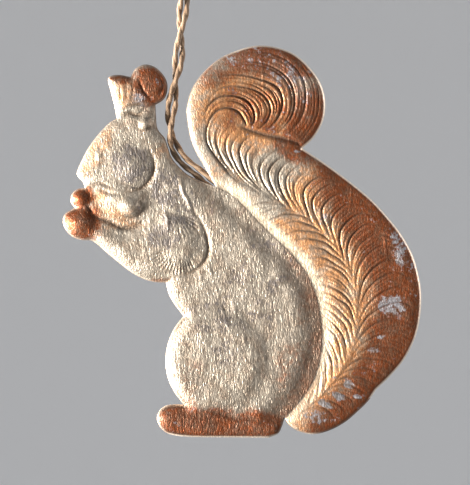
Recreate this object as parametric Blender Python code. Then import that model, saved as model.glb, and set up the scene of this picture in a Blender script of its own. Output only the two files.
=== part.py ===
"""Hanging squirrel ornament: two embossed card halves, glued rim to rim, on a doubled thread.

The script works in metres. Its drawings are in millimetres: u runs right from the paw, v runs up
from the sole, and depth runs back from the seam plane. The squirrel faces -X and its front half
faces -Y. The world origin is the top of the thread's loop, which is what the ornament hangs by.
"""
import math

import bmesh
import bpy
import numpy as np
from mathutils import Vector
from mathutils.geometry import delaunay_2d_cdt

MM = 0.001

# Driving dimensions, in millimetres.
LOOP_TOP = (26.2, 101.6)        # the eye of the loop, on the drawing
CARD = 0.6                      # card thickness
RIM = 0.9                       # height of the front half's edge above the seam plane
FLOOR = 1.5                     # height of the valleys between two raised forms
SEAM = 0.3                      # gap between the two halves
LAND = 1.2                      # width of the flat band that is glued, inside the rim
RISE = 2.6                      # width over which the relief climbs from the rim
BLEND = 0.25                    # softness of the join between two raised forms
BODY = (2.3, 5.0)               # height of the body, and the width over which it climbs
TAIL = (2.5, 2.4)               # the same for the tail

# Spacing of the points that the faces are made from, in millimetres.
EDGE_STEP = 1.5                 # along the outline
RING = 0.8                      # from the outline to the ring of points inside it
RING_CLEARANCE = 0.7            # least distance from that ring's points to the outline
FACE_STEP = 2.2                 # between the points on the faces
FACE_CLEARANCE = 1.6            # least distance from those points to the outline
FACE_GAP = 1.43                 # least distance from those points to any other point
SLOT_STEP = 0.9                 # along the thread's slot
SLOT_GAP = 0.45                 # least distance between the slot's points
DRAWING = (-1.0, 0.0, 73.0, 80.0)   # the rectangle that holds the outline
CURVE_SAMPLES = 20              # samples between two drawn points of a curve
WELD = 1e-6                     # points closer than this are one point
SHARP = 50.0                    # angle in degrees from which an edge is shown sharp

THREAD = 1.1                    # diameter of the thread
TWIST = 0.68                    # distance of each strand from the middle of the twisted pair
HALF_TURN = 9.7                 # height over which the two strands change places
CROSSING = 61.6                 # height of the lowest crossing, with the first strand in front
EYE_START = 92.0                # height at which the strands part into the eye
EYE = 1.7                       # half the width of the eye
EYE_SIDES = 4                   # straight pieces in the eye's half turn
THREAD_STEP = 2.4               # spacing of the points along the thread
EXIT = (21.62, 60.4)            # where the free thread leaves the nape
CUT = 0.5                       # gap between the free thread and its lower ends
SLOT = (1.6, 2.4)               # half widths of the thread's slot in the seam: full depth, and closed
SLOT_DEPTH = 0.95               # height of the slot above the seam plane
FLAT = 56.9                     # height below which the strands lie side by side

# The outline, clockwise from the notch between nape and tail. Each run is smooth, and runs meet at
# sharp notches or corners.
CURL = [(30.6, 50.1), (28.4, 54.0), (26.0, 58.4), (25.0, 62.4), (24.8, 66.4), (26.2, 70.6),
        (29.4, 74.4), (33.6, 77.0), (39.6, 78.5), (45.8, 77.0), (50.2, 73.0), (52.2, 68.8),
        (52.2, 64.2), (50.4, 60.4), (47.8, 57.9)]
BACK = [(47.8, 57.9), (52.4, 54.9), (57.4, 51.2), (61.6, 47.7), (64.6, 44.5), (67.4, 41.0),
        (69.7, 37.0), (71.0, 32.8), (71.6, 28.6), (71.3, 23.8), (70.2, 19.6), (68.1, 15.6),
        (65.4, 12.4), (62.6, 9.7)]
TAIL_TIP = [(62.6, 9.7), (61.0, 7.4), (59.0, 5.4), (56.4, 3.2), (53.2, 1.5), (50.0, 0.8),
            (46.8, 1.5), (45.0, 2.8), (44.3, 4.1)]
HEEL = [(44.3, 4.1), (43.8, 2.4), (43.0, 0.9), (41.2, 0.1)]
SOLE = [(41.2, 0.1), (33.0, 0.15), (25.4, 0.25), (21.4, 0.8), (19.6, 2.0), (18.8, 3.8),
        (19.3, 5.5), (20.8, 6.5), (22.6, 6.7), (24.2, 6.6)]
HAUNCH = [(24.2, 6.6), (22.4, 9.0), (21.2, 11.4), (20.6, 14.0), (20.6, 16.8), (21.2, 19.6),
          (22.4, 22.2), (24.1, 24.4)]
BELLY = [(24.1, 24.4), (22.4, 26.6), (21.2, 28.8), (20.6, 31.1)]
FOREARM = [(20.6, 31.1), (18.4, 31.2), (16.2, 31.8), (13.6, 33.2), (11.0, 35.2), (8.6, 37.2),
           (6.8, 38.8), (5.6, 39.5), (3.8, 39.6), (2.0, 40.2), (0.6, 41.6), (0.0, 43.3),
           (0.5, 44.9), (2.4, 46.0)]
PAW = [(2.4, 46.0), (1.6, 47.2), (1.8, 48.8), (3.0, 49.8), (4.4, 49.9)]
FACE = [(4.4, 49.9), (4.1, 51.0), (3.2, 52.0), (2.8, 53.1), (3.8, 55.6), (5.4, 58.5),
        (7.4, 61.1), (9.4, 63.1), (10.8, 63.9)]
FRONT_EAR = [(10.8, 63.9), (10.3, 66.4), (9.6, 69.2), (9.0, 71.6), (9.6, 72.4), (11.4, 72.6),
             (13.5, 72.2)]
REAR_EAR = [(13.5, 72.2), (14.6, 73.9), (16.6, 74.7), (18.8, 73.9), (20.5, 71.9), (20.9, 69.8),
            (20.2, 67.8), (18.5, 66.6)]
STEM = [(18.5, 66.6), (18.6, 64.4), (18.9, 61.9), (20.35, 60.0)]
NAPE = [(20.35, 60.0), (20.75, 58.9), (21.15, 57.6), (21.6, 56.3), (22.4, 55.1), (23.5, 53.9),
        (24.5, 53.0), (25.4, 52.4), (26.8, 51.75), (28.4, 51.0), (30.6, 50.1)]
OUTLINE = [CURL, BACK, TAIL_TIP, HEEL, SOLE, HAUNCH, BELLY, FOREARM, PAW, FACE, FRONT_EAR,
           REAR_EAR, STEM, NAPE]

# The line between body and tail, and the rest of a loop round the tail, outside the outline.
TAIL_LINE = [(30.6, 50.1), (33.2, 48.8), (36.0, 46.4), (38.8, 43.4), (41.8, 40.4), (45.4, 37.0),
             (48.6, 33.0), (50.4, 29.0), (51.4, 24.6), (51.8, 20.4), (51.4, 15.8), (50.0, 11.6),
             (47.6, 7.8), (44.3, 4.1)]
TAIL_OUTSIDE = [(44.0, -4.0), (82.0, -4.0), (82.0, 90.0), (18.0, 90.0), (22.0, 62.0)]

# Raised regions, which may pass the outline.
FOOT = [(16.0, 7.4), (24.2, 6.7), (28.0, 6.0), (33.0, 5.0), (38.0, 4.2), (44.6, 4.4),
        (46.0, -4.0), (16.0, -4.0)]
ARM = [(-3.0, 45.6), (5.4, 44.2), (9.4, 43.0), (12.4, 42.0), (14.6, 42.2), (16.6, 43.8),
       (19.0, 46.6), (22.6, 46.8), (26.6, 44.6), (28.8, 41.0), (29.0, 37.4), (27.4, 34.2),
       (24.4, 32.0), (20.6, 30.9), (8.0, 28.0), (-3.0, 34.0)]
FRONT_EAR_FORM = [(10.6, 64.4), (7.0, 74.0), (13.6, 74.0), (15.4, 71.6), (17.2, 69.8),
                  (18.0, 66.6), (16.6, 64.6)]
# Each raised region with its height and the width over which it climbs.
REGIONS = [(ARM, 2.8, 5.0), (FOOT, 2.5, 3.0), (FRONT_EAR_FORM, 2.3, 2.5)]

# Round forms: centre, radii, turn in degrees, and height at the middle.
HEAD = ((11.6, 55.6), (10.6, 8.2), 20.0, 2.5)
CHEEK = ((13.5, 54.2), (4.7, 4.9), 0.0, 3.0)
EAR_DISC = ((17.0, 70.6), (4.1, 4.2), 0.0, 2.0)
FIST = ((3.4, 43.0), (3.9, 3.3), -15.0, 2.5)
UPPER_BALL = ((3.5, 48.0), (2.1, 2.0), 0.0, 2.3)
CHEST = ((12.4, 47.6), (5.4, 4.2), 0.0, 2.3)
THIGH = ((30.6, 15.4), (10.6, 10.2), 0.0, 3.1)
ROUND_FORMS = [HEAD, CHEEK, EAR_DISC, FIST, UPPER_BALL, CHEST, THIGH]

# The middle of the pair of strands, from the exit upwards and from the exit to the inside ends.
PAIR_UP = [EXIT, (21.56, 61.6), (21.45, 63.8), (21.9, 67.6), (22.46, 71.2), (23.1, 75.6),
           (23.4, 79.6), (23.8, 83.6), (24.25, 87.6), (24.9, 92.4), (25.8, 97.6), (26.2, 99.9)]
PAIR_DOWN = [EXIT, (21.86, 59.4), (22.6, 57.6), (23.5, 56.2), (24.6, 55.0), (26.0, 53.9),
             (27.4, 52.8), (28.8, 51.6), (30.2, 50.4), (31.8, 49.0), (33.6, 47.6)]
SLOT_LINE = PAIR_DOWN[6:] + [(34.6, 46.8)]

# Materials: colour, roughness and metallic.
LEAFED_CARD = ((0.62, 0.55, 0.46), 0.38, 0.85)
TWINE = ((0.62, 0.47, 0.30), 0.9, 0.0)


def clear_scene():
    for item in list(bpy.data.objects):
        bpy.data.objects.remove(item, do_unlink=True)


def collection(name):
    """A new collection in the scene."""
    group = bpy.data.collections.new(name)
    bpy.context.scene.collection.children.link(group)
    return group


def material(name, look):
    colour, roughness, metallic = look
    made = bpy.data.materials.new(name)
    made.use_nodes = True
    shader = made.node_tree.nodes["Principled BSDF"]
    shader.inputs["Base Color"].default_value = (*colour, 1.0)
    shader.inputs["Roughness"].default_value = roughness
    shader.inputs["Metallic"].default_value = metallic
    return made


def world(u, v, depth=0.0):
    """A drawing point, in metres from the top of the loop."""
    return Vector(((u - LOOP_TOP[0]) * MM, depth * MM, (v - LOOP_TOP[1]) * MM))


def smooth(points, step):
    """A smooth curve through the points, as points about one step apart."""
    knots = np.array(points, float)
    ends = [2 * knots[0] - knots[1], *knots, 2 * knots[-1] - knots[-2]]
    dense = [knots[0]]
    for before, here, there, after in zip(ends, ends[1:], ends[2:], ends[3:]):
        for t in np.linspace(1.0 / CURVE_SAMPLES, 1.0, CURVE_SAMPLES):
            dense.append(0.5 * (2 * here + (there - before) * t
                                + (2 * before - 5 * here + 4 * there - after) * t * t
                                + (3 * here - before - 3 * there + after) * t ** 3))
    return spaced(np.array(dense), step)


def spaced(dense, step):
    """The same line, with its points about one step apart."""
    along = np.concatenate([[0.0], np.cumsum(np.linalg.norm(np.diff(dense, axis=0), axis=1))])
    count = max(2, round(along[-1] / step) + 1)
    places = np.linspace(0.0, along[-1], count)
    return np.column_stack([np.interp(places, along, axis) for axis in dense.T])


def outline(step):
    """The closed outline; the nape has finer points, for the thread's slot."""
    runs = [smooth(run, step / 2 if run is NAPE else step)[:-1] for run in OUTLINE]
    return np.concatenate(runs)


def distance(points, line, closed):
    """The distance of each point to a line."""
    starts = np.array(line, float)
    stops = np.roll(starts, -1, axis=0)
    if not closed:
        starts, stops = starts[:-1], stops[:-1]
    nearest = np.full(len(points), np.inf)
    for start, stop in zip(starts, stops):
        way = stop - start
        share = np.clip((points - start) @ way / (way @ way), 0.0, 1.0)
        nearest = np.minimum(nearest, np.linalg.norm(points - start - share[:, None] * way, axis=1))
    return nearest


def inside(points, loop):
    """Which points a closed loop holds."""
    held = np.zeros(len(points), bool)
    loop = np.array(loop, float)
    for (u0, v0), (u1, v1) in zip(loop, np.roll(loop, -1, axis=0)):
        spans = (v0 > points[:, 1]) != (v1 > points[:, 1])
        rise = v1 - v0 if v1 != v0 else 1.0
        held ^= spans & (points[:, 0] < (u1 - u0) * (points[:, 1] - v0) / rise + u0)
    return held


def quarter(share):
    """A quarter of an ellipse: 0 at 0, steep at first, and 1 from 1 on."""
    return np.sqrt(1.0 - (1.0 - np.clip(share, 0.0, 1.0)) ** 2)


def joined(a, b):
    """The higher of two forms, with a soft join."""
    return 0.5 * (a + b + np.sqrt((a - b) ** 2 + BLEND ** 2)) - 0.5 * BLEND


def pillow(points, loop, height, width):
    """A raised region: it climbs from the valley floor at its border to its height."""
    loop = spaced(np.array(loop + loop[:1], float), 1.0)[:-1]
    depth = distance(points, loop, True) * inside(points, loop)
    return FLOOR + (height - FLOOR) * quarter(depth / width)


def dome(points, form):
    """A raised ellipse."""
    centre, radii, turn, height = form
    angle = math.radians(turn)
    across = points - np.array(centre)
    u = (across[:, 0] * math.cos(angle) + across[:, 1] * math.sin(angle)) / radii[0]
    v = (across[:, 1] * math.cos(angle) - across[:, 0] * math.sin(angle)) / radii[1]
    return FLOOR + (height - FLOOR) * np.sqrt(np.clip(1.0 - u * u - v * v, 0.0, 1.0))


def slot(points):
    """The height that the thread needs above the seam plane as it goes in between the halves."""
    away = distance(points, SLOT_LINE, False)
    full, shut = SLOT
    return SLOT_DEPTH * np.clip((shut - away) / (shut - full), 0.0, 1.0)


def relief(points, edge):
    """The height of the front half's outer face above the seam plane."""
    line = smooth(TAIL_LINE, EDGE_STEP)
    tail_loop = [tuple(p) for p in line] + TAIL_OUTSIDE
    body_height, body_width = BODY
    body = FLOOR + (body_height - FLOOR) * quarter(distance(points, line, False) / body_width)
    form = np.where(inside(points, tail_loop), pillow(points, tail_loop, *TAIL), body)
    for region, height, width in REGIONS:
        form = joined(form, pillow(points, region, height, width))
    for round_form in ROUND_FORMS:
        form = joined(form, dome(points, round_form))
    face = RIM + (form - RIM) * quarter(edge / RISE)
    slotted = slot(points)
    return np.maximum(face, slotted + CARD * quarter(slotted / SLOT_DEPTH))


def underside(points, edge, height):
    """The height of the front half's inner face: flat where it is glued, hollow inside."""
    hollow = np.clip((edge - LAND) / LAND, 0.0, 1.0) * np.maximum(height - CARD - SEAM / 2, 0.0)
    return np.maximum(SEAM / 2 + hollow, slot(points))


def slot_points(border):
    """Rows of points along the slot, so that its walls have somewhere to stand."""
    line = smooth(SLOT_LINE, SLOT_STEP)
    way = np.gradient(line, axis=0)
    way /= np.linalg.norm(way, axis=1)[:, None]
    side = np.column_stack([-way[:, 1], way[:, 0]])
    full, shut = SLOT
    rows = [line + offset * side for offset in (0.0, full / 2, -full / 2, full, -full, shut, -shut)]
    found = np.concatenate(rows)
    keep = inside(found, border) & (distance(found, border, True) > EDGE_STEP / 4)
    return found[keep]


def ring_points(border):
    """A row of points just inside the outline."""
    way = np.roll(border, -1, axis=0) - np.roll(border, 1, axis=0)
    way /= np.linalg.norm(way, axis=1)[:, None]
    ring = border + RING * np.column_stack([way[:, 1], -way[:, 0]])
    return ring[inside(ring, border) & (distance(ring, border, True) > RING_CLEARANCE)]


def grid_points(border):
    """A triangular grid of points inside the outline."""
    left, bottom, right, top = DRAWING
    rows = np.arange(bottom, top, FACE_STEP * math.sin(math.radians(60.0)))
    columns = np.arange(left, right, FACE_STEP)
    grid = np.array([(u + FACE_STEP / 2 * (i % 2), v) for i, v in enumerate(rows)
                     for u in columns])
    return grid[inside(grid, border) & (distance(grid, border, True) > FACE_CLEARANCE)]


def face_points(border):
    """Points inside the outline: the slot's rows, a ring inside the outline, and a grid."""
    found = []
    for batch, gap in ((slot_points(border), SLOT_GAP), (ring_points(border), RING),
                       (grid_points(border), FACE_GAP)):
        for point in batch:
            if all(np.hypot(*(point - other)) > gap for other in found):
                found.append(point)
    return np.array(found)


def layout(border):
    """A half's points on the drawing, border first, its triangles, and its rim's edges."""
    points = np.concatenate([border, face_points(border)])
    rim = [(i, (i + 1) % len(border)) for i in range(len(border))]
    found = delaunay_2d_cdt([Vector(p) for p in points], rim, [], 1, WELD)
    points = np.array([tuple(p) for p in found[0]])
    middles = np.array([points[list(face)].mean(axis=0) for face in found[2]])
    faces = [face for face, held in zip(found[2], inside(middles, border)) if held]
    return points, faces, rim


def shell_mesh(name, outer, inner, faces, rim):
    """A closed mesh: an outer face, a matching inner face, and the cut edge that joins them."""
    shell = bmesh.new()
    tops = [shell.verts.new(place) for place in outer]
    bases = [shell.verts.new(place) for place in inner]
    for face in faces:
        shell.faces.new([tops[i] for i in face])
        shell.faces.new([bases[i] for i in reversed(face)])
    for a, b in rim:
        shell.faces.new([tops[a], tops[b], bases[b], bases[a]])
    bmesh.ops.recalc_face_normals(shell, faces=shell.faces)
    bmesh.ops.triangulate(shell, faces=[f for f in shell.faces if len(f.verts) > 3])
    mesh = bpy.data.meshes.new(name)
    shell.to_mesh(mesh)
    shell.free()
    mesh.shade_smooth()
    mesh.set_sharp_from_angle(angle=math.radians(SHARP))
    return mesh


def card(name, front, group, holder):
    """One embossed half. The front one faces -Y."""
    border = outline(EDGE_STEP)
    points, faces, rim = layout(border)
    edge = distance(points, border, True)
    edge[:len(border)] = 0.0
    outer = relief(points, edge)
    inner = underside(points, edge, outer)
    sign = -1.0 if front else 1.0
    tops = [world(*p, sign * h) - holder.location for p, h in zip(points, outer)]
    bases = [world(*p, sign * h) - holder.location for p, h in zip(points, inner)]
    mesh = shell_mesh(name, tops, bases, faces, rim)
    mesh.materials.append(material(name, LEAFED_CARD))
    made = bpy.data.objects.new(name, mesh)
    made.parent = holder
    group.objects.link(made)


def tube(name, route, group, holder=None):
    """A plain thread along a route of (u, v, depth) points."""
    origin = holder.location if holder else Vector()
    curve = bpy.data.curves.new(name, "CURVE")
    curve.dimensions = "3D"
    curve.bevel_depth = THREAD / 2 * MM
    curve.bevel_resolution = 2
    curve.use_fill_caps = True
    line = curve.splines.new("POLY")
    line.points.add(len(route) - 1)
    for knot, (u, v, depth) in zip(line.points, route):
        knot.co = (*(world(u, v, depth) - origin), 1.0)
    made = bpy.data.objects.new(name, curve)
    made.parent = holder
    group.objects.link(made)
    curve.materials.append(material(name, TWINE))


def strand(line, side):
    """One strand of the pair along its middle line, as (u, v, depth) points."""
    way = np.gradient(line, axis=0)
    way /= np.linalg.norm(way, axis=1)[:, None]
    right = np.column_stack([way[:, 1], -way[:, 0]])
    right *= np.sign(np.sum(right, axis=1))[:, None]
    points = []
    for (u, v), across in zip(line, right):
        turn = math.radians(-90.0 + 180.0 * (max(v, FLAT) - CROSSING) / HALF_TURN)
        spread = TWIST
        if v > EYE_START:
            last = -90.0 + 180.0 * round((EYE_START - CROSSING) / HALF_TURN + 0.5)
            turn = math.radians(last - 90.0)
            share = min(1.0, (v - EYE_START) / (PAIR_UP[-1][1] - EYE_START))
            spread = TWIST + (EYE - TWIST) * math.sin(share * math.pi / 2)
        reach = side * spread * math.cos(turn)
        points.append((u + reach * across[0], v + reach * across[1],
                       side * spread * math.sin(turn)))
    return points


def free_thread():
    """The route of the free thread: up one strand, round the eye and down the other."""
    line = smooth(PAIR_UP, THREAD_STEP)
    first = strand(line, 1)
    second = strand(line, -1)
    middle = np.array(PAIR_UP[-1])
    start = np.array(first[-1][:2]) - middle
    facing = math.atan2(start[1], start[0])
    way = 1.0 if start[0] > 0 else -1.0
    arc = []
    for i in range(1, EYE_SIDES):
        angle = facing + way * math.pi * i / EYE_SIDES
        arc.append((middle[0] + EYE * math.cos(angle), middle[1] + EYE * math.sin(angle), 0.0))
    return first + arc + second[::-1]


def thread_ends():
    """The routes of the two lower strands, along the nape and in between the halves."""
    line = smooth(PAIR_DOWN, CUT / 2)
    begin = np.argmax(np.linalg.norm(line - np.array(EXIT), axis=1) > CUT)
    line = spaced(line[begin:], THREAD_STEP / 2)
    return strand(line, 1), strand(line, -1)


def build():
    """The whole ornament. Its lower parts turn about an upright axis at the nape."""
    clear_scene()
    ornament = collection("squirrel_ornament")
    turning = bpy.data.objects.new("turn_axis", None)
    turning.location = world(*EXIT)
    ornament.objects.link(turning)
    card("front_card", True, ornament, turning)
    card("back_card", False, ornament, turning)
    tube("thread_loop", free_thread(), ornament)
    lower, upper = thread_ends()
    tube("thread_end_lower", lower, ornament, turning)
    tube("thread_end_upper", upper, ornament, turning)


build()
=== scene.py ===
"""Looks for the hanging squirrel ornament: two embossed card halves and their looped twine.

Drawings are in millimetres: u runs right from the paw, v runs up from the sole, and heights run
out from the seam plane. The squirrel faces -X and its front half faces -Y, as in the CAD part.
"""

import math

import bpy
import numpy as np
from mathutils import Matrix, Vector
from mathutils.geometry import delaunay_2d_cdt

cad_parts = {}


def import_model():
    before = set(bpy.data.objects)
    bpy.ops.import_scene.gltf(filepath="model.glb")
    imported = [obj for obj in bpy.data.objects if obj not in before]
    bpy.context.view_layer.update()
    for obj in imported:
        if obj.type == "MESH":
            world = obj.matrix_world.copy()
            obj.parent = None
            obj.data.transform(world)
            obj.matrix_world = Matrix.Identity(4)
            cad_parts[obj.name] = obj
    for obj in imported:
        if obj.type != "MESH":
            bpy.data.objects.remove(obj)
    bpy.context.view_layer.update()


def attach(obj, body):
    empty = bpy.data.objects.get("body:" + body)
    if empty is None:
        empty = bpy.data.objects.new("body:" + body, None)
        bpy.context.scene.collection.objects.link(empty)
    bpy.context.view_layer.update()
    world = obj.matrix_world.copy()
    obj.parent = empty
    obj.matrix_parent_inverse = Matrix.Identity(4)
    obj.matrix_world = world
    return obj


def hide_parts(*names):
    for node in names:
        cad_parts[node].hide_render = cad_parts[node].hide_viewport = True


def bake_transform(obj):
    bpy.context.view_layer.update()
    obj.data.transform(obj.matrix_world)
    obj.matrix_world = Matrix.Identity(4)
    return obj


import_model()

MM = 0.001
LOOP_TOP = (26.2, 101.6)  # the eye of the loop, on the drawing
RIM = 0.9                 # height of a half's edge above the seam plane
LIP = 0.35                # how far the cut edge is rounded over
LIP_WIDTH = 0.32
SEAM = 0.04               # height of a half's glued face above the seam plane
FLOOR = 1.0               # height of the valleys between two raised forms
RISE = 3.0                # width over which the relief climbs from the rim
BLEND = 0.22              # softness of the join between two raised forms
LIFT = 1.44               # makes up for the height that the soft joins take away
GRID = 0.21               # spacing of the points on a relief
BORDER_STEP = 0.24        # spacing of the points along its outline
RINGS = (0.1, 0.22, 0.36, 0.52)     # rows of points just inside the outline
UNDER_GRID = 1.6          # spacing of the points on the glued face
SLOT = (1.6, 2.4)         # half widths of the thread's slot in the seam
SLOT_DEPTH = 0.62
SLOT_COVER = 0.30         # least card left over the slot
DRAWING = ((-1.0, -1.0), (73.0, 80.0))  # the corners of a rectangle that holds the outline

TWIST = 0.68              # distance of each strand from the middle of the pair
HALF_TURN = 9.7           # height over which the two strands change places
CROSSING = 61.6           # height of the lowest crossing
EYE_START = 92.0          # height at which the strands part into the eye
EYE = 1.7                 # half the width of the eye
FLAT = 56.9               # height below which the strands lie side by side
EXIT = (21.62, 60.4)      # where the free thread leaves the nape
PLY_TURN = 6.4            # length over which the twine's two plies turn once
PLY_OFFSET = 0.15         # how far the plies' lobes stand out
PLY_RADIUS = 0.44
SIDES = 24                # of the twine
SWELL_STEP = 1.3          # spacing of the twine's thick and thin places
STRAYS = 150              # loose fibres on the twine
STRAY_RINGS = 5
STRAY_RADIUS = 0.026

# In metres. The picture covers 94 mm by 97 mm at the ornament.
AIM = (0.0082, -0.0625)   # the middle of the picture, as x and z
DISTANCE = 0.9
LENS = 36.0 * DISTANCE / 0.097
KEY_PLACE = (-0.46, -0.17, -0.13)
KEY_SIZE = 0.14
KEY_POWER = 0.98
FILL_PLACE = (0.5, 0.0, 0.06)
FILL_SIZE = 0.2
FILL_POWER = 0.16
SKY_STRENGTH = 0.6
BEAM = math.radians(36.0)  # a light's beam, which keeps it off the floor and wall
FLOOR_Z = -0.5
FLOOR_FLAT = 1.6          # radius of the floor's flat middle
FLOOR_CURVE = 0.9         # radius of the curve up to the wall
WALL_TOP = 1.6
FLOOR_TURNS = 144

CURL = [(30.6, 50.1), (28.4, 54.0), (26.0, 58.4), (25.0, 62.4), (24.8, 66.4), (26.2, 70.6),
        (29.4, 74.4), (33.6, 77.0), (39.6, 78.5), (45.8, 77.0), (50.2, 73.0), (52.2, 68.8),
        (52.2, 64.2), (50.4, 60.4), (47.8, 57.9)]
BACK = [(47.8, 57.9), (52.4, 54.9), (57.4, 51.2), (61.6, 47.7), (64.6, 44.5), (67.4, 41.0),
        (69.7, 37.0), (71.0, 32.8), (71.6, 28.6), (71.3, 23.8), (70.2, 19.6), (68.1, 15.6),
        (65.4, 12.4), (62.6, 9.7)]
TAIL_TIP = [(62.6, 9.7), (61.0, 7.4), (59.0, 5.4), (56.4, 3.2), (53.2, 1.5), (50.0, 0.8),
            (46.8, 1.5), (45.0, 2.8), (44.3, 4.1)]
HEEL = [(44.3, 4.1), (43.8, 2.4), (43.0, 0.9), (41.2, 0.1)]
SOLE = [(41.2, 0.1), (33.0, 0.15), (25.4, 0.25), (21.4, 0.8), (19.6, 2.0), (18.8, 3.8),
        (19.3, 5.5), (20.8, 6.5), (22.6, 6.7), (24.2, 6.6)]
HAUNCH = [(24.2, 6.6), (22.4, 9.0), (21.2, 11.4), (20.6, 14.0), (20.6, 16.8), (21.2, 19.6),
          (22.4, 22.2), (24.1, 24.4)]
BELLY = [(24.1, 24.4), (22.4, 26.6), (21.2, 28.8), (20.6, 31.1)]
FOREARM = [(20.6, 31.1), (18.4, 31.2), (16.2, 31.8), (13.6, 33.2), (11.0, 35.2), (8.6, 37.2),
           (6.8, 38.8), (5.6, 39.5), (3.8, 39.6), (2.0, 40.2), (0.6, 41.6), (0.0, 43.3),
           (0.5, 44.9), (2.4, 46.0)]
PAW = [(2.4, 46.0), (1.6, 47.2), (1.8, 48.8), (3.0, 49.8), (4.4, 49.9)]
FACE = [(4.4, 49.9), (4.1, 51.0), (3.2, 52.0), (2.8, 53.1), (3.8, 55.6), (5.4, 58.5),
        (7.4, 61.1), (9.4, 63.1), (10.8, 63.9)]
FRONT_EAR = [(10.8, 63.9), (10.3, 66.4), (9.6, 69.2), (9.0, 71.6), (9.6, 72.4), (11.4, 72.6),
             (13.5, 72.2)]
REAR_EAR = [(13.5, 72.2), (14.6, 73.9), (16.6, 74.7), (18.8, 73.9), (20.5, 71.9), (20.9, 69.8),
            (20.2, 67.8), (18.5, 66.6)]
STEM = [(18.5, 66.6), (18.6, 64.4), (18.9, 61.9), (20.35, 60.0)]
NAPE = [(20.35, 60.0), (20.75, 58.9), (21.15, 57.6), (21.6, 56.3), (22.4, 55.1), (23.5, 53.9),
        (24.5, 53.0), (25.4, 52.4), (26.8, 51.75), (28.4, 51.0), (30.6, 50.1)]
OUTLINE = [CURL, BACK, TAIL_TIP, HEEL, SOLE, HAUNCH, BELLY, FOREARM, PAW, FACE, FRONT_EAR,
           REAR_EAR, STEM, NAPE]

TAIL_LINE = [(30.6, 50.1), (33.2, 48.8), (36.0, 46.4), (38.8, 43.4), (41.8, 40.4), (45.4, 37.0),
             (48.6, 33.0), (50.4, 29.0), (51.4, 24.6), (51.8, 20.4), (51.4, 15.8), (50.0, 11.6),
             (47.6, 7.8), (44.3, 4.1)]
TAIL_OUTSIDE = [(44.0, -4.0), (82.0, -4.0), (82.0, 90.0), (18.0, 90.0), (22.0, 62.0)]
FOOT = [(16.0, 7.4), (24.2, 6.7), (28.0, 6.0), (33.0, 5.0), (38.0, 4.2), (44.6, 4.4),
        (46.0, -4.0), (16.0, -4.0)]
ARM = [(-3.0, 45.6), (5.4, 44.2), (9.4, 43.0), (12.4, 42.0), (14.6, 42.2), (16.6, 43.8),
       (19.0, 46.6), (22.6, 46.8), (26.6, 44.6), (28.8, 41.0), (29.0, 37.4), (27.4, 34.2),
       (24.4, 32.0), (20.6, 30.9), (8.0, 28.0), (-3.0, 34.0)]
FRONT_EAR_FORM = [(10.6, 64.4), (7.0, 74.0), (13.6, 74.0), (15.4, 71.6), (17.2, 69.8),
                  (18.0, 66.6), (16.6, 64.6)]

# Raised regions: their border, height, and the width over which they climb to it.
REGIONS = [(ARM, 2.95, 4.4), (FOOT, 2.5, 3.0), (FRONT_EAR_FORM, 2.3, 2.5)]
# Long slopes beside the line between body and tail: rise above the valley floor, and width.
TAIL_SHOULDER = (0.7, 1.6)
TAIL_SLOPE = (0.75, 5.0)
BODY_SLOPE = (1.55, 5.6)
THIGH_RISE = 0.5

# Round forms: centre, radii, turn in degrees, and height at the middle.
HEAD = ((11.6, 55.6), (10.6, 8.2), 20.0, 2.5)
CHEEK = ((13.5, 54.2), (4.7, 4.9), 0.0, 2.75)
EAR_DISC = ((17.0, 70.6), (4.1, 4.2), 0.0, 2.0)
FIST = ((3.4, 43.0), (3.9, 3.3), -15.0, 2.5)
UPPER_BALL = ((3.5, 48.0), (2.1, 2.0), 0.0, 2.3)
CHEST = ((12.4, 47.6), (5.4, 4.2), 0.0, 2.3)
THIGH = ((29.6, 15.4), (11.0, 10.6), 0.0)
EAR_ROOT = ((16.6, 62.8), (1.7, 1.4), 25.0, 2.3)
BREAST = ((13.2, 46.4), (2.8, 2.2), -30.0, 2.5)
ROUND_FORMS = [HEAD, CHEEK, EAR_DISC, FIST, UPPER_BALL, CHEST, EAR_ROOT, BREAST]

PAIR_UP = [EXIT, (21.56, 61.6), (21.45, 63.8), (21.9, 67.6), (22.46, 71.2), (23.1, 75.6),
           (23.4, 79.6), (23.8, 83.6), (24.25, 87.6), (24.9, 92.4), (25.8, 97.6), (26.2, 99.9)]
PAIR_DOWN = [EXIT, (21.86, 59.4), (22.6, 57.6), (23.5, 56.2), (24.6, 55.0), (26.0, 53.9),
             (27.4, 52.8), (28.8, 51.6), (30.2, 50.4), (31.8, 49.0), (33.6, 47.6)]
SLOT_LINE = PAIR_DOWN[6:] + [(34.6, 46.8)]

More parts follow.
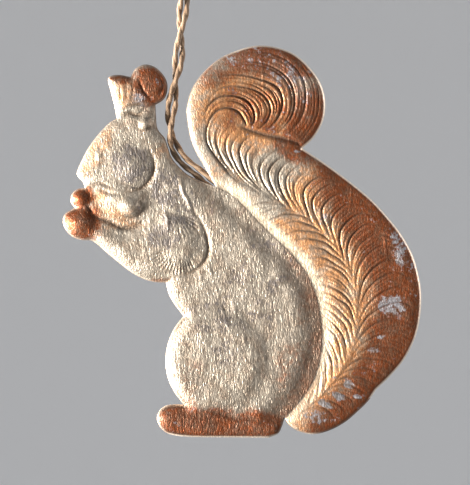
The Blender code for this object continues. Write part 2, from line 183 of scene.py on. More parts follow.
# Guides for the fur. Neighbouring guides are blended into rows of pressed strokes: the locks sweep
# from the tail's middle to its back, the barbs to its front, and the arcs follow the curl.
LOCKS = [
    [(36.4, 50.4), (32.2, 54.0), (29.6, 57.8), (28.8, 61.2), (29.8, 64.2), (32.4, 65.6)],
    [(38.0, 49.6), (34.0, 52.8), (31.2, 56.6), (30.4, 60.0), (31.6, 62.8), (34.2, 63.8)],
    [(39.8, 48.6), (35.8, 51.6), (33.2, 55.0), (32.0, 57.8), (32.4, 60.2), (34.6, 62.2)],
    [(42.6, 47.2), (39.0, 50.4), (36.6, 53.6), (35.8, 56.6), (37.2, 59.0), (40.0, 60.4)],
    [(45.4, 45.0), (42.4, 48.2), (40.6, 51.2), (40.4, 54.2), (42.2, 56.4), (45.6, 57.6)],
    [(49.0, 42.8), (46.6, 46.4), (45.2, 49.2), (45.2, 52.0), (47.8, 54.2), (51.6, 54.2)],
    [(53.0, 39.2), (51.2, 43.0), (50.0, 45.8), (50.4, 48.2), (53.4, 50.4), (57.6, 50.2)],
    [(56.8, 33.6), (56.0, 37.2), (55.2, 40.0), (56.0, 42.6), (59.4, 45.0), (63.6, 44.2)],
    [(58.6, 28.0), (58.6, 31.4), (59.0, 34.4), (60.8, 37.2), (64.2, 39.0), (68.0, 37.4)],
    [(58.8, 22.4), (59.8, 25.8), (61.2, 28.2), (64.0, 30.4), (67.4, 31.4), (70.8, 29.4)],
    [(57.4, 16.0), (59.0, 18.8), (61.0, 20.8), (64.2, 22.2), (67.8, 22.4), (70.8, 20.4)],
    [(54.6, 11.2), (56.0, 13.4), (58.2, 14.8), (61.0, 15.4), (64.2, 14.8), (66.8, 13.0)],
    [(51.4, 7.6), (52.6, 9.2), (54.4, 10.2), (56.8, 10.4), (59.4, 9.4), (61.2, 7.6)],
    [(47.0, 4.0), (48.0, 5.2), (49.6, 6.0), (51.6, 6.2), (53.6, 4.8), (54.6, 2.4)],
]
BARBS = [
    [(45.4, 46.4), (42.6, 47.2), (39.8, 47.0), (36.6, 46.0)],
    [(49.8, 43.2), (47.0, 44.8), (43.8, 45.0), (40.2, 43.6)],
    [(53.4, 39.6), (50.6, 41.8), (47.0, 42.6), (43.0, 41.4)],
    [(56.0, 36.0), (53.2, 38.4), (49.6, 39.8), (45.6, 39.0)],
    [(57.6, 32.4), (55.4, 35.0), (51.8, 36.8), (47.8, 36.4)],
    [(58.4, 28.4), (56.6, 31.4), (53.2, 33.8), (49.2, 33.6)],
    [(58.6, 24.8), (57.0, 27.8), (54.0, 30.2), (50.4, 30.8)],
    [(58.2, 21.2), (57.0, 24.2), (54.6, 27.0), (51.2, 28.0)],
    [(57.4, 18.0), (56.4, 21.0), (54.6, 24.0), (51.8, 26.0)],
    [(56.2, 15.2), (55.4, 18.2), (54.0, 21.0), (52.0, 23.2)],
    [(54.4, 12.4), (54.2, 15.2), (53.2, 17.8), (51.8, 20.2)],
    [(51.8, 9.2), (52.2, 11.8), (52.0, 14.4), (51.2, 17.0)],
    [(49.0, 6.4), (49.8, 8.6), (50.2, 10.8), (50.2, 13.0)],
]
ARCS = [
    [(29.0, 60.0), (29.2, 63.0), (30.8, 65.2), (33.0, 66.0), (35.0, 65.4), (36.2, 63.8),
     (36.6, 62.2), (36.2, 61.4)],
    [(28.4, 63.4), (29.0, 66.0), (31.4, 68.2), (34.4, 68.5), (37.0, 67.3), (38.3, 65.2),
     (38.3, 63.2), (37.4, 61.8)],
    [(28.6, 67.0), (31.0, 69.6), (34.2, 70.6), (37.6, 70.1), (40.2, 68.4), (41.4, 66.0),
     (40.8, 63.6), (38.8, 61.6)],
    [(29.8, 70.6), (33.0, 72.5), (37.0, 72.4), (40.8, 71.2), (43.2, 69.4), (44.1, 66.6),
     (43.2, 63.8), (41.0, 61.3)],
    [(31.4, 73.4), (34.6, 74.9), (39.0, 75.0), (43.0, 73.6), (45.6, 71.0), (46.3, 67.4),
     (45.4, 63.9), (42.8, 60.9)],
    [(33.4, 75.8), (37.0, 77.0), (41.4, 76.8), (45.2, 75.0), (48.0, 71.6), (48.7, 67.4),
     (47.8, 63.8), (44.8, 60.1)],
    [(36.0, 77.6), (40.0, 78.2), (44.6, 77.4), (48.4, 74.4), (50.6, 70.4), (51.1, 66.4),
     (50.3, 63.0), (47.4, 58.8)],
]
# A family of fur: guides, rows of deep strokes, fine rows between two deep ones, depths along a
# stroke, and how strong the strokes are from the first row to the last.
FUR = [
    (LOCKS, 38, 3, (0.05, 0.22, 0.32, 0.26, 0.14, 0.02), (1.1, 1.1, 0.9, 0.65, 0.6)),
    (BARBS, 21, 2, (0.10, 0.24, 0.26, 0.18, 0.04), (1.0, 1.0)),
    (ARCS, 7, 3, (0.02, 0.14, 0.26, 0.32, 0.40, 0.42, 0.34, 0.12), (1.0, 0.9, 0.5)),
]
DEEP_STROKE = (0.25, (0.75, 1.2))   # width, and the range of its strength
FINE_STROKE = (0.16, (0.2, 0.65))
STROKE_SHIFT = 0.08       # how far a stroke strays from its guide
STROKE_WAVE = 0.13
FOLD_WIDTH = 0.55         # of the fold under the curl
FOLD_DEPTHS = (0.25, 0.45, 0.45, 0.3)
FOLD = [(36.2, 62.0), (39.4, 60.9), (43.0, 60.1), (46.4, 59.2), (48.4, 57.8)]
# Lines pressed into the face: width, depth and points. A negative depth is a raised line.
CREASES = [
    (0.60, 0.42, [(5.8, 44.6), (9.2, 43.3), (11.8, 42.1), (14.4, 42.3), (16.6, 43.6)]),
    (0.45, 0.28, [(26.0, 45.6), (27.4, 43.6), (28.8, 40.4), (29.1, 37.2), (28.0, 34.8),
                  (25.4, 33.1), (22.4, 32.2), (20.8, 31.4)]),
    (0.50, 0.34, [(17.2, 57.6), (18.3, 55.0), (17.9, 52.4), (16.4, 50.4), (14.2, 49.4),
                  (11.6, 49.2)]),
    (0.35, 0.22, [(3.8, 50.6), (5.4, 50.4), (7.6, 50.9), (9.6, 50.2)]),
    (0.40, 0.20, [(7.2, 49.8), (9.8, 48.8), (12.8, 48.9)]),
    (0.35, 0.22, [(4.8, 46.6), (5.6, 45.6), (6.2, 44.6)]),
    (0.60, 0.50, [(12.2, 64.3), (13.6, 64.9), (15.0, 64.6), (16.6, 65.6)]),
    (0.35, 0.26, [(12.4, 66.0), (14.2, 66.6), (16.6, 66.8)]),
    (0.35, 0.28, [(15.4, 71.6), (16.0, 69.6), (17.6, 67.8)]),
    (0.30, 0.24, [(19.2, 72.4), (19.9, 70.4), (19.4, 68.2)]),
    (0.50, 0.20, [(24.6, 6.6), (29.4, 5.5), (33.4, 4.3), (36.8, 3.8), (43.4, 3.6)]),
    (0.34, -0.22, [(23.4, 52.8), (24.0, 49.4), (25.2, 46.8), (26.0, 44.8)]),
    (0.34, -0.20, [(20.2, 45.4), (21.0, 43.6), (20.8, 41.2)]),
    (0.22, -0.12, [(36.0, 20.8), (36.4, 18.6)]), (0.22, -0.12, [(36.2, 16.6), (36.9, 14.8)]),
    (0.22, -0.12, [(37.8, 14.6), (38.8, 12.6)]), (0.22, -0.10, [(31.6, 26.4), (32.3, 24.4)]),
    (0.22, -0.10, [(32.6, 23.2), (33.3, 21.6)]), (0.22, -0.10, [(30.4, 30.6), (31.2, 28.0)]),
    (0.22, -0.10, [(39.8, 17.0), (40.6, 15.0)]), (0.25, -0.10, [(33.8, 27.6), (34.6, 24.6)]),
    (0.25, -0.10, [(29.2, 34.8), (29.8, 31.8)]), (0.25, -0.10, [(27.2, 34.0), (27.9, 31.0)]),
]
# Fans of fine creases: centre, angles in degrees, inner and outer radius, count and depth.
FANS = [
    ((23.6, 38.8), (-158.0, -62.0), (2.4, 6.8), 15, 0.20),
    ((22.6, 45.0), (-20.0, -78.0), (1.2, 6.0), 7, 0.12),
    ((13.4, 58.0), (74.0, 106.0), (9.4, 13.6), 6, 0.09),
]
EYE_SPOT = ((7.1, 56.2), (0.55, 0.95), 0.0)
EYE_RING = ((7.9, 56.4), (1.25, 1.5), 0.0)
SOLE_SHADE = ((26.0, 3.6), (5.4, 2.2), -6.0)
EYE_HEIGHT = 0.26
EYE_RING_DEPTH = 0.05
# Unevenness: height, size of the bumps along u and v, and seed.
HAIRS = [(0.022, (0.32, 0.7), 1), (0.024, (0.55, 1.2), 2)]
SWELLS = [(0.08, (2.2, 3.4), 3), (0.09, (5.0, 7.0), 5)]
SCRATCH_WIDTH = 0.16
SCRATCH_HEIGHTS = (0.03, 0.07, 0.03)
SCRATCHES = [
    [(39.6, 77.6), (40.2, 68.6)], [(44.0, 76.6), (44.4, 73.6)], [(44.8, 72.6), (45.2, 63.6)],
    [(36.0, 62.6), (36.4, 58.6)], [(42.4, 60.6), (42.4, 57.6)], [(45.2, 61.6), (45.2, 57.6)],
    [(44.2, 57.6), (44.6, 55.6)], [(57.8, 50.6), (57.2, 44.6)], [(64.0, 41.6), (65.0, 34.6)],
]


# -------- drawing

def world(u, v, depth=0.0):
    """A drawing point, in metres from the top of the loop."""
    return ((u - LOOP_TOP[0]) * MM, depth * MM, (v - LOOP_TOP[1]) * MM)


def spaced(dense, step):
    """The same line, with its points about one step apart."""
    along = np.concatenate([[0.0], np.cumsum(np.linalg.norm(np.diff(dense, axis=0), axis=1))])
    count = max(2, round(along[-1] / step) + 1)
    places = np.linspace(0.0, along[-1], count)
    return np.column_stack([np.interp(places, along, axis) for axis in dense.T])


def between(before, here, there, after, t):
    """The place a share t of the way from here to there, on a smooth curve through all four."""
    return 0.5 * (2 * here + (there - before) * t
                  + (2 * before - 5 * here + 4 * there - after) * t * t
                  + (3 * here - before - 3 * there + after) * t ** 3)


def smooth(points, step):
    """A smooth curve through the points, as points about one step apart."""
    knots = np.array(points, float)
    ends = [2 * knots[0] - knots[1], *knots, 2 * knots[-1] - knots[-2]]
    dense = [knots[0]]
    for four in zip(ends, ends[1:], ends[2:], ends[3:]):
        dense += [between(*four, t) for t in np.linspace(0.05, 1.0, 20)]
    return spaced(np.array(dense), step)


def soft(share):
    """A smooth step from 0 to 1."""
    share = np.clip(share, 0.0, 1.0)
    return share * share * (3.0 - 2.0 * share)


def eased(share):
    """A parabola: 0 at 0, and level from 1 on."""
    return 1.0 - (1.0 - np.clip(share, 0.0, 1.0)) ** 2


def quarter(share):
    """A quarter of an ellipse: 0 at 0, steep at first, and 1 from 1 on."""
    return np.sqrt(eased(share))


def joined(a, b):
    """The higher of two forms, with a soft join."""
    return 0.5 * (a + b + np.sqrt((a - b) ** 2 + BLEND ** 2)) - 0.5 * BLEND


class Sheet:
    """Points on the drawing, kept by square cell so that what is near a line is found fast."""

    CELL = 2.0

    def __init__(self, points):
        self.points = points
        keys = np.floor(points / self.CELL).astype(int)
        order = np.lexsort((keys[:, 1], keys[:, 0]))
        ends = np.flatnonzero(np.any(np.diff(keys[order], axis=0), axis=1)) + 1
        self.cells = {tuple(keys[group[0]]): group for group in np.split(order, ends)}

    def near(self, low, high):
        """The indexes of the points in the cells that a box touches."""
        low = np.floor(low / self.CELL).astype(int)
        high = np.floor(high / self.CELL).astype(int)
        found = [self.cells[i, j] for i in range(low[0], high[0] + 1)
                 for j in range(low[1], high[1] + 1) if (i, j) in self.cells]
        return np.concatenate(found) if found else np.zeros(0, int)

    def distance(self, line, closed=False, reach=12.0):
        """How far each point is from a line, and at most reach."""
        away = np.full(len(self.points), reach)
        line = np.array(line, float)
        starts, stops = (line, np.roll(line, -1, axis=0)) if closed else (line[:-1], line[1:])
        for start, stop in zip(starts, stops):
            near = self.near(np.minimum(start, stop) - reach, np.maximum(start, stop) + reach)
            far, _ = to_segment(self.points[near], start, stop)
            away[near] = np.minimum(away[near], far)
        return away


def to_segment(points, start, stop):
    """Each point's distance to a segment, and how far along the segment it is."""
    way = stop - start
    share = np.clip((points - start) @ way / (way @ way), 0.0, 1.0)
    return np.linalg.norm(points - start - share[:, None] * way, axis=1), share


def inside(points, loop):
    """Which points a closed loop holds."""
    held = np.zeros(len(points), bool)
    loop = np.array(loop, float)
    for (u0, v0), (u1, v1) in zip(loop, np.roll(loop, -1, axis=0)):
        spans = (v0 > points[:, 1]) != (v1 > points[:, 1])
        rise = v1 - v0 if v1 != v0 else 1.0
        held ^= spans & (points[:, 0] < (u1 - u0) * (points[:, 1] - v0) / rise + u0)
    return held


def noise(points, size, seed):
    """Smooth random numbers from -1 to 1 over the drawing, with bumps of about that size."""
    table = np.random.default_rng(seed).uniform(-1.0, 1.0, (97, 97))
    place = points / np.array(size) + 41.3
    cell = np.floor(place).astype(int)
    share = soft(place - cell)
    i, j = cell[:, 0] % 96, cell[:, 1] % 96
    left = table[i, j] * (1 - share[:, 1]) + table[i, j + 1] * share[:, 1]
    right = table[i + 1, j] * (1 - share[:, 1]) + table[i + 1, j + 1] * share[:, 1]
    return left * (1 - share[:, 0]) + right * share[:, 0]


# -------- forms

def pillow(sheet, loop, height, width):
    """A raised region: it climbs from the valley floor at its border to its height."""
    depth = sheet.distance(loop, closed=True) * inside(sheet.points, loop)
    return FLOOR + (height - FLOOR) * quarter(depth / width)


def oval(points, form):
    """How far each point is from the middle of an ellipse: 1 on its border."""
    centre, radii, turn = form[:3]
    angle = math.radians(turn)
    across = points - np.array(centre)
    u = (across[:, 0] * math.cos(angle) + across[:, 1] * math.sin(angle)) / radii[0]
    v = (across[:, 1] * math.cos(angle) - across[:, 0] * math.sin(angle)) / radii[1]
    return np.hypot(u, v)


def dome(points, form):
    """A raised ellipse."""
    return FLOOR + (form[3] - FLOOR) * np.sqrt(np.clip(1.0 - oval(points, form) ** 2, 0.0, 1.0))


def slot(sheet):
    """The height that the thread needs above the seam plane as it goes in between the halves."""
    away = sheet.distance(SLOT_LINE, reach=4.0)
    full, shut = SLOT
    return SLOT_DEPTH * np.clip((shut - away) / (shut - full), 0.0, 1.0)


def blended_rows(guides, count):
    """Lines from the first guide to the last, each blended smoothly from its nearest guides."""
    table = np.array(guides, float)
    table = [2 * table[0] - table[1], *table, 2 * table[-1] - table[-2]]
    rows = []
    for rank in np.linspace(0.0, len(guides) - 1.0, count):
        i = min(int(rank), len(guides) - 2)
        rows.append(smooth(between(*table[i:i + 4], rank - i), 0.35))
    return rows


def press(sheet, cut, line, width, depths):
    """Presses one stroke into cut, which holds how deep each point has been pressed."""
    places = np.linspace(0.0, 1.0, len(line))
    deep = np.interp(places, np.linspace(0.0, 1.0, len(depths)), depths)
    reach = 2.2 * width
    for start, stop, first, last in zip(line, line[1:], deep, deep[1:]):
        near = sheet.near(np.minimum(start, stop) - reach, np.maximum(start, stop) + reach)
        away, share = to_segment(sheet.points[near], start, stop)
        pressed = (first + (last - first) * share) * np.exp(-(away / width) ** 2)
        cut[near] = np.maximum(cut[near], pressed)


def fur(sheet):
    """How deep the fur's strokes are pressed in: deep ones, with finer ones between."""
    cut = np.zeros(len(sheet.points))
    draw = np.random.default_rng(4)
    for guides, count, fine, depths, trend in FUR:
        rows = blended_rows(guides, (count - 1) * (fine + 1) + 1)
        for rank, line in enumerate(rows):
            width, strengths = FINE_STROKE if rank % (fine + 1) else DEEP_STROKE
            share = draw.uniform(*strengths)
            share *= np.interp(rank / len(rows), np.linspace(0.0, 1.0, len(trend)), trend)
            waves = draw.normal(0.0, STROKE_WAVE, 6)
            wave = np.interp(np.linspace(0.0, 5.0, len(line)), range(6), waves)
            line = line + draw.normal(0.0, STROKE_SHIFT, 2) + wave[:, None]
            press(sheet, cut, line, width, share * np.array(depths))
    return cut


def creases(sheet):
    """How deep the face's lines are pressed in; a raised line counts below nothing."""
    sunk, raised = np.zeros(len(sheet.points)), np.zeros(len(sheet.points))
    for width, depth, line in CREASES:
        layer = sunk if depth > 0 else raised
        press(sheet, layer, smooth(line, 0.4), width, abs(depth) * np.array((0.3, 1.0, 1.0, 0.3)))
    for centre, angles, radii, count, depth in FANS:
        for angle in np.radians(np.linspace(*angles, count)):
            way = np.array([math.cos(angle), math.sin(angle)])
            line = np.array(centre) + np.linspace(*radii, 8)[:, None] * way
            press(sheet, sunk, line, 0.2, (0.0, depth, depth, 0.0))
    return sunk - raised


def relief(sheet, edge):
    """The outer face's height, which points are tail, and how far each is from the tail's line."""
    points = sheet.points
    tail_loop = [tuple(p) for p in smooth(TAIL_LINE, 1.0)] + TAIL_OUTSIDE
    in_tail = inside(points, tail_loop)
    from_line = sheet.distance(smooth(TAIL_LINE, 1.0))
    tail = FLOOR + TAIL_SHOULDER[0] * quarter(from_line / TAIL_SHOULDER[1])
    tail += TAIL_SLOPE[0] * eased(from_line / TAIL_SLOPE[1])
    body = FLOOR + BODY_SLOPE[0] * eased(from_line / BODY_SLOPE[1])
    body += THIGH_RISE * soft((1.1 - oval(points, THIGH)) / 0.4)
    form = np.where(in_tail, tail, body)
    for region in REGIONS:
        form = joined(form, pillow(sheet, *region))
    for round_form in ROUND_FORMS:
        form = joined(form, dome(points, round_form))
    lip = LIP * (quarter(edge / LIP_WIDTH) - 1.0)
    height = RIM + lip + LIFT * (form - RIM) * quarter((edge - 0.12) / RISE)
    return height, in_tail, from_line


def surface(sheet, edge):
    """The same as relief, with fur, creases, wrinkles and scratches."""
    points = sheet.points
    height, in_tail, from_line = relief(sheet, edge)
    inner = soft((edge - 0.3) / 1.2)
    cut = fur(sheet) * in_tail * soft((from_line - 0.4) / 1.4)
    press(sheet, cut, smooth(FOLD, 0.4), FOLD_WIDTH, FOLD_DEPTHS)
    height = height - cut * soft((edge - 0.25) / 1.0) - creases(sheet) * soft(edge / 0.8)
    height += EYE_HEIGHT * np.exp(-oval(points, EYE_SPOT) ** 2)
    height -= EYE_RING_DEPTH * np.exp(-((oval(points, EYE_RING) - 1.0) / 0.22) ** 2)
    hair, swell = (sum(high * noise(points, size, seed) for high, size, seed in layers)
                   for layers in (HAIRS, SWELLS))
    height += inner * np.where(in_tail, 0.35 * hair, hair) + inner * swell
    scratch = np.zeros(len(points))
    for ends in SCRATCHES:
        press(sheet, scratch, spaced(np.array(ends), 0.5), SCRATCH_WIDTH, SCRATCH_HEIGHTS)
    height += scratch
    slotted = slot(sheet)
    covered = slotted + SLOT_COVER * quarter(slotted / SLOT_DEPTH)
    return np.maximum(height, covered), in_tail, from_line


# -------- colour fields

# Patches: centre, radii, turn in degrees, and strength.
COPPER = [
    ((50.0, 62.5), (7.0, 9.5), -15.0, 1.0), ((42.0, 75.5), (13.0, 5.0), 0.0, 0.85),
    ((31.0, 73.6), (5.5, 4.4), 40.0, 0.6), ((42.0, 67.0), (9.0, 8.0), 0.0, 0.65),
    ((13.4, 69.6), (4.0, 3.0), 0.0, 0.4), ((55.0, 46.0), (6.0, 5.0), -40.0, 0.5),
    ((34.0, 66.0), (6.0, 6.0), 0.0, 0.5), ((46.0, 57.6), (5.0, 3.0), -30.0, 0.8),
    ((17.6, 70.6), (4.6, 4.6), 0.0, 1.0), ((11.8, 72.6), (3.6, 2.3), 0.0, 0.9),
    ((3.4, 43.2), (5.4, 4.4), 0.0, 0.95), ((3.4, 48.2), (3.2, 2.8), 0.0, 0.95),
    ((28.0, 1.4), (14.0, 5.2), 0.0, 1.0), ((21.6, 4.0), (5.0, 3.8), 0.0, 0.8),
    # The thin patch at (18.6, 31.0) under the arm is painted shade.
    ((38.5, 2.0), (8.0, 4.2), 0.0, 0.85), ((18.6, 31.0), (4.0, 1.0), 12.0, 0.4),
    ((24.6, 10.0), (5.0, 6.0), 0.0, 0.25), ((46.5, 12.0), (5.0, 9.0), 10.0, 0.35),
]
GOLD = [
    ((37.0, 66.0), (12.0, 10.0), 0.0, 0.9), ((6.5, 57.5), (3.0, 6.5), -35.0, 0.45),
    # The patch at (21.0, 58.0) by the nape is a painted reflection of the thread.
    ((21.0, 58.0), (3.0, 4.0), 0.0, 0.3), ((10.0, 44.0), (7.0, 2.6), -15.0, 0.4),
    ((7.0, 47.6), (3.4, 2.6), 0.0, 0.45), ((12.4, 69.0), (3.6, 4.0), 0.0, 0.6),
    ((33.0, 52.0), (6.0, 3.0), -35.0, 0.35),
]
WORN = [
    ((44.2, 73.0), (5.0, 3.6), -40.0, 0.45), ((66.0, 26.4), (3.6, 2.4), 0.0, 0.75),
    ((62.2, 17.6), (1.6, 0.7), 0.0, 0.8), ((63.4, 20.2), (0.8, 0.5), 0.0, 0.8),
    ((57.2, 10.6), (1.4, 0.9), -20.0, 0.8), ((55.2, 8.4), (1.7, 0.9), -15.0, 0.8),
    ((52.4, 6.8), (1.9, 0.8), -25.0, 0.7), ((50.4, 4.4), (3.4, 1.8), -10.0, 0.55),
    ((58.8, 8.4), (1.1, 0.7), -20.0, 0.7), ((33.4, 50.6), (3.0, 1.4), -30.0, 0.6),
    ((29.4, 23.6), (3.0, 3.4), 0.0, 0.55), ((32.0, 17.0), (4.4, 4.0), 0.0, 0.5),
    ((52.6, 43.8), (1.8, 1.6), 0.0, 0.55), ((67.6, 38.0), (3.0, 5.4), 30.0, 0.5),
    ((38.6, 30.0), (8.0, 9.0), 0.0, 0.4), ((22.0, 44.0), (3.6, 4.6), 0.0, 0.6),
    ((38.0, 75.8), (8.0, 2.6), 0.0, 0.32), ((47.6, 69.6), (2.4, 5.0), 20.0, 0.5),
    ((13.4, 54.8), (5.0, 5.0), 0.0, 0.75), ((20.2, 50.0), (3.4, 5.4), 0.0, 0.7),
    ((24.4, 46.0), (3.0, 4.6), 0.0, 0.65), ((20.6, 40.6), (4.4, 3.4), 0.0, 0.7),
    ((31.2, 24.2), (7.0, 4.2), -20.0, 0.55), ((40.6, 37.6), (5.0, 4.6), -40.0, 0.4),
    ((15.0, 68.0), (2.4, 2.4), 0.0, 0.5),
]
# Where the tail turns from silver to gold, and from gold to copper, as far as beyond its edge.
GOLD_SIDE = [(52.0, 59.6), (46.0, 56.0), (42.6, 50.4), (42.0, 46.4), (38.6, 43.0), (44.0, 38.0),
             (50.0, 30.0), (51.0, 20.0), (49.0, 11.0), (44.0, 3.0), (46.0, -4.0), (82.0, -4.0),
             (82.0, 62.0)]
COPPER_SIDE = [(51.6, 60.0), (48.2, 56.0), (48.0, 51.0), (50.0, 46.0), (53.6, 41.0), (56.4, 36.2),
               (58.6, 30.4), (59.4, 25.0), (58.0, 17.6), (54.6, 12.0), (51.0, 8.2), (46.6, 4.6),
               (46.0, -4.0), (82.0, -4.0), (82.0, 62.0)]
GOLD_STRENGTH = 0.72      # of the gold on the tail
SLOPE_WIDTH = 6.5         # of the body's slope to the tail, which is coppered and darkened with painted shade
SLOPE_COPPER = 0.55
# painted shade down the body's slope to the tail
SLOPE_SHADE = 0.34
CAVITY_DEPTH = 0.16       # depth at which a hollow's patina and painted shade are as dark as they get
CAVITY_ROUNDS = 14        # of smoothing, to find a point's surroundings
RIDGE_HIGHLIGHT = 0.04       # painted highlight on the tail's ridge beside the body


def patches(points, items):
    """The strongest of some soft elliptical patches at each point."""
    found = np.zeros(len(points))
    for item in items:
        found = np.maximum(found, item[3] * soft((1.25 - oval(points, item)) / 0.75))
    return found


def cavity(faces, height):
    """How far each point lies below its surroundings, in millimetres."""
    ends = np.concatenate([faces[:, [0, 1]], faces[:, [1, 2]], faces[:, [2, 0]]])
    ends = np.concatenate([ends, ends[:, ::-1]])
    count = np.bincount(ends[:, 0], minlength=len(height))
    even = height.copy()
    for _ in range(CAVITY_ROUNDS):
        even = np.bincount(ends[:, 0], weights=even[ends[:, 1]], minlength=len(height)) / count
    return even - height


def tints(sheet, edge, faces, height, in_tail, from_line):
    """Copper, gold, worn, and patina with painted shade and highlight, for each point, from 0 to
    1. At 0.5 the last is level: patina and painted shade lie above it, painted highlight below.
    """
    points = sheet.points
    copper = np.maximum(patches(points, COPPER), in_tail * within(sheet, COPPER_SIDE, 2.0, 8.0))
    gold = GOLD_STRENGTH * in_tail * within(sheet, GOLD_SIDE, 1.0, 5.0)
    gold = np.maximum(patches(points, GOLD), gold)
    slope = np.where(in_tail, 0.0, soft(1.0 - from_line / SLOPE_WIDTH))
    slope *= soft((46.0 - points[:, 1]) / 18.0) * soft((points[:, 1] - 1.0) / 4.0)
    copper = np.maximum(copper, SLOPE_COPPER * slope)
    copper += 0.12 * noise(points, (3.0, 3.5), 7) * (copper > 0.0)
    worn = patches(points, WORN)
    # Patina and painted shade in the hollows, rubbed wear and painted highlight on the ridges.
    patina_shade_highlight = 0.5 + 0.5 * np.clip(cavity(faces, height) / CAVITY_DEPTH, -1.0, 1.0)
    # Painted shade: brown along the low left edge of the haunch and belly, under the sole, and
    # down the body's slope to the tail.
    brown = soft((0.95 - edge) / 0.5) * soft((32.0 - points[:, 1]) / 2.0)
    brown *= soft((26.0 - points[:, 0]) / 2.0)
    brown = np.maximum(brown, 0.7 * soft((1.3 - oval(points, SOLE_SHADE)) / 0.9))
    patina_shade_highlight = np.maximum(patina_shade_highlight, 0.5 + np.maximum(0.5 * brown, SLOPE_SHADE * slope))
    # Painted highlight: the glint in the eye.
    patina_shade_highlight -= 0.6 * np.exp(-oval(points, EYE_SPOT) ** 2)
    # Painted highlight along the tail's ridge beside the body.
    ridge = in_tail * soft((3.4 - from_line) / 2.6) * soft((from_line - 0.1) / 0.3)
    patina_shade_highlight += (RIDGE_HIGHLIGHT - patina_shade_highlight) * ridge
    return np.clip(np.column_stack([copper, gold, worn, patina_shade_highlight]), 0.0, 1.0)


def within(sheet, loop, before, width):
    """A soft mask that climbs from just outside a loop, over a width, to 1 inside it."""
    away = sheet.distance(loop, closed=True, reach=10.0)
    deep = np.where(inside(sheet.points, loop), away, -away)
    return soft((deep + before) / width)


def trim(sheet, edge):
    """How much of the pale cut card shows at each point: along the back, the curl and the sole."""
    points = sheet.points
    right = soft((points[:, 0] - 30.0) / 6.0) * (points[:, 1] > 8.0)
    low = soft((1.4 - points[:, 1]) / 0.8)
    return soft((0.42 - edge) / 0.3) * np.maximum(np.maximum(right, low), 0.25)


# -------- meshes

def placed(name, data):
    """A new object in the scene."""
    made = bpy.data.objects.new(name, data)
    bpy.context.scene.collection.objects.link(made)
    return made


def tube_faces(rings, sides, start=0):
    """The faces between neighbouring rings of points, which are numbered from start."""
    return [(row + j, row + (j + 1) % sides, row + sides + (j + 1) % sides, row + sides + j)
            for row in range(start, start + (rings - 1) * sides, sides) for j in range(sides)]


def outline(step):
    """The closed outline, as fine points."""
    return np.concatenate([smooth(run, step)[:-1] for run in OUTLINE])


def inner_grid(border, step, gap):
    """A triangular grid of points inside the outline, more than a gap from it."""
    low, high = DRAWING
    rows = np.arange(low[1], high[1], step * math.sin(math.radians(60)))
    columns = np.arange(low[0], high[0], step)
    v, u = np.meshgrid(rows, columns, indexing="ij")
    u = u + step / 2 * (np.arange(len(rows)) % 2)[:, None]
    grid = np.column_stack([u.ravel(), v.ravel()])
    grid = grid[inside(grid, border)]
    return grid[Sheet(grid).distance(border, closed=True, reach=2.0) > gap]


def inner_rings(border):
    """Rows of points just inside the outline, so that its rounded edge has somewhere to bend."""
    way = np.roll(border, -1, axis=0) - np.roll(border, 1, axis=0)
    way /= np.linalg.norm(way, axis=1)[:, None]
    inwards = np.column_stack([way[:, 1], -way[:, 0]])
    rings = []
    for offset in RINGS:
        ring = border + offset * inwards
        away = Sheet(ring).distance(border, closed=True, reach=1.0)
        rings.append(ring[inside(ring, border) & (away > 0.96 * offset)])
    return np.concatenate(rings)


def triangles(border, points):
    """A triangle mesh over the outline: its points, border first, and its faces."""
    every = np.concatenate([border, points])
    rim = [(i, (i + 1) % len(border)) for i in range(len(border))]
    found = delaunay_2d_cdt([Vector(p) for p in every], rim, [], 1, 1e-7)
    made = np.array([tuple(p) for p in found[0]])
    faces = np.array([face for face in found[2] if len(face) == 3])
    faces = faces[inside(made[faces].mean(axis=1), border)]
    a, b, c = made[faces[:, 0]], made[faces[:, 1]], made[faces[:, 2]]
    turn = (b[:, 0] - a[:, 0]) * (c[:, 1] - a[:, 1]) - (b[:, 1] - a[:, 1]) * (c[:, 0] - a[:, 0])
    faces[turn < 0] = faces[turn < 0][:, ::-1]
    return made, faces


def half():
    """One half's points as (u, v, height), faces, colour fields, and which faces are cut."""
    border = outline(BORDER_STEP)
    grid = inner_grid(border, GRID, RINGS[-1] + 0.6 * GRID)
    points, faces = triangles(border, np.concatenate([inner_rings(border), grid]))
    sheet = Sheet(points)
    edge = sheet.distance(border, closed=True, reach=6.0)
    edge[:len(border)] = 0.0
    height, in_tail, from_line = surface(sheet, edge)
    tint = tints(sheet, edge, faces, height, in_tail, from_line)
    bare = trim(sheet, edge)
    bases, floor = triangles(border, inner_grid(border, UNDER_GRID, UNDER_GRID / 2))
    low = np.maximum(SEAM, slot(Sheet(bases)))
    start, rim = len(points), np.arange(len(border))
    after = np.roll(rim, -1)
    clockwise = np.column_stack([rim, after, start + after])
    other = np.column_stack([rim, start + after, start + rim])
    corners = np.concatenate([np.column_stack([points, height]), np.column_stack([bases, low])])
    every = np.concatenate([faces, start + floor[:, ::-1], clockwise, other])
    cut_edge = np.arange(len(every)) >= len(faces) + len(floor)
    plain = np.tile([0.0, 0.0, 0.0, 0.5], (len(bases), 1))
    looks = {"tint": np.concatenate([tint, plain]),
             "bare": np.concatenate([bare, np.ones(len(bases))]),
             "tail": np.concatenate([in_tail, np.zeros(len(bases))])}
    return corners, every, looks, cut_edge


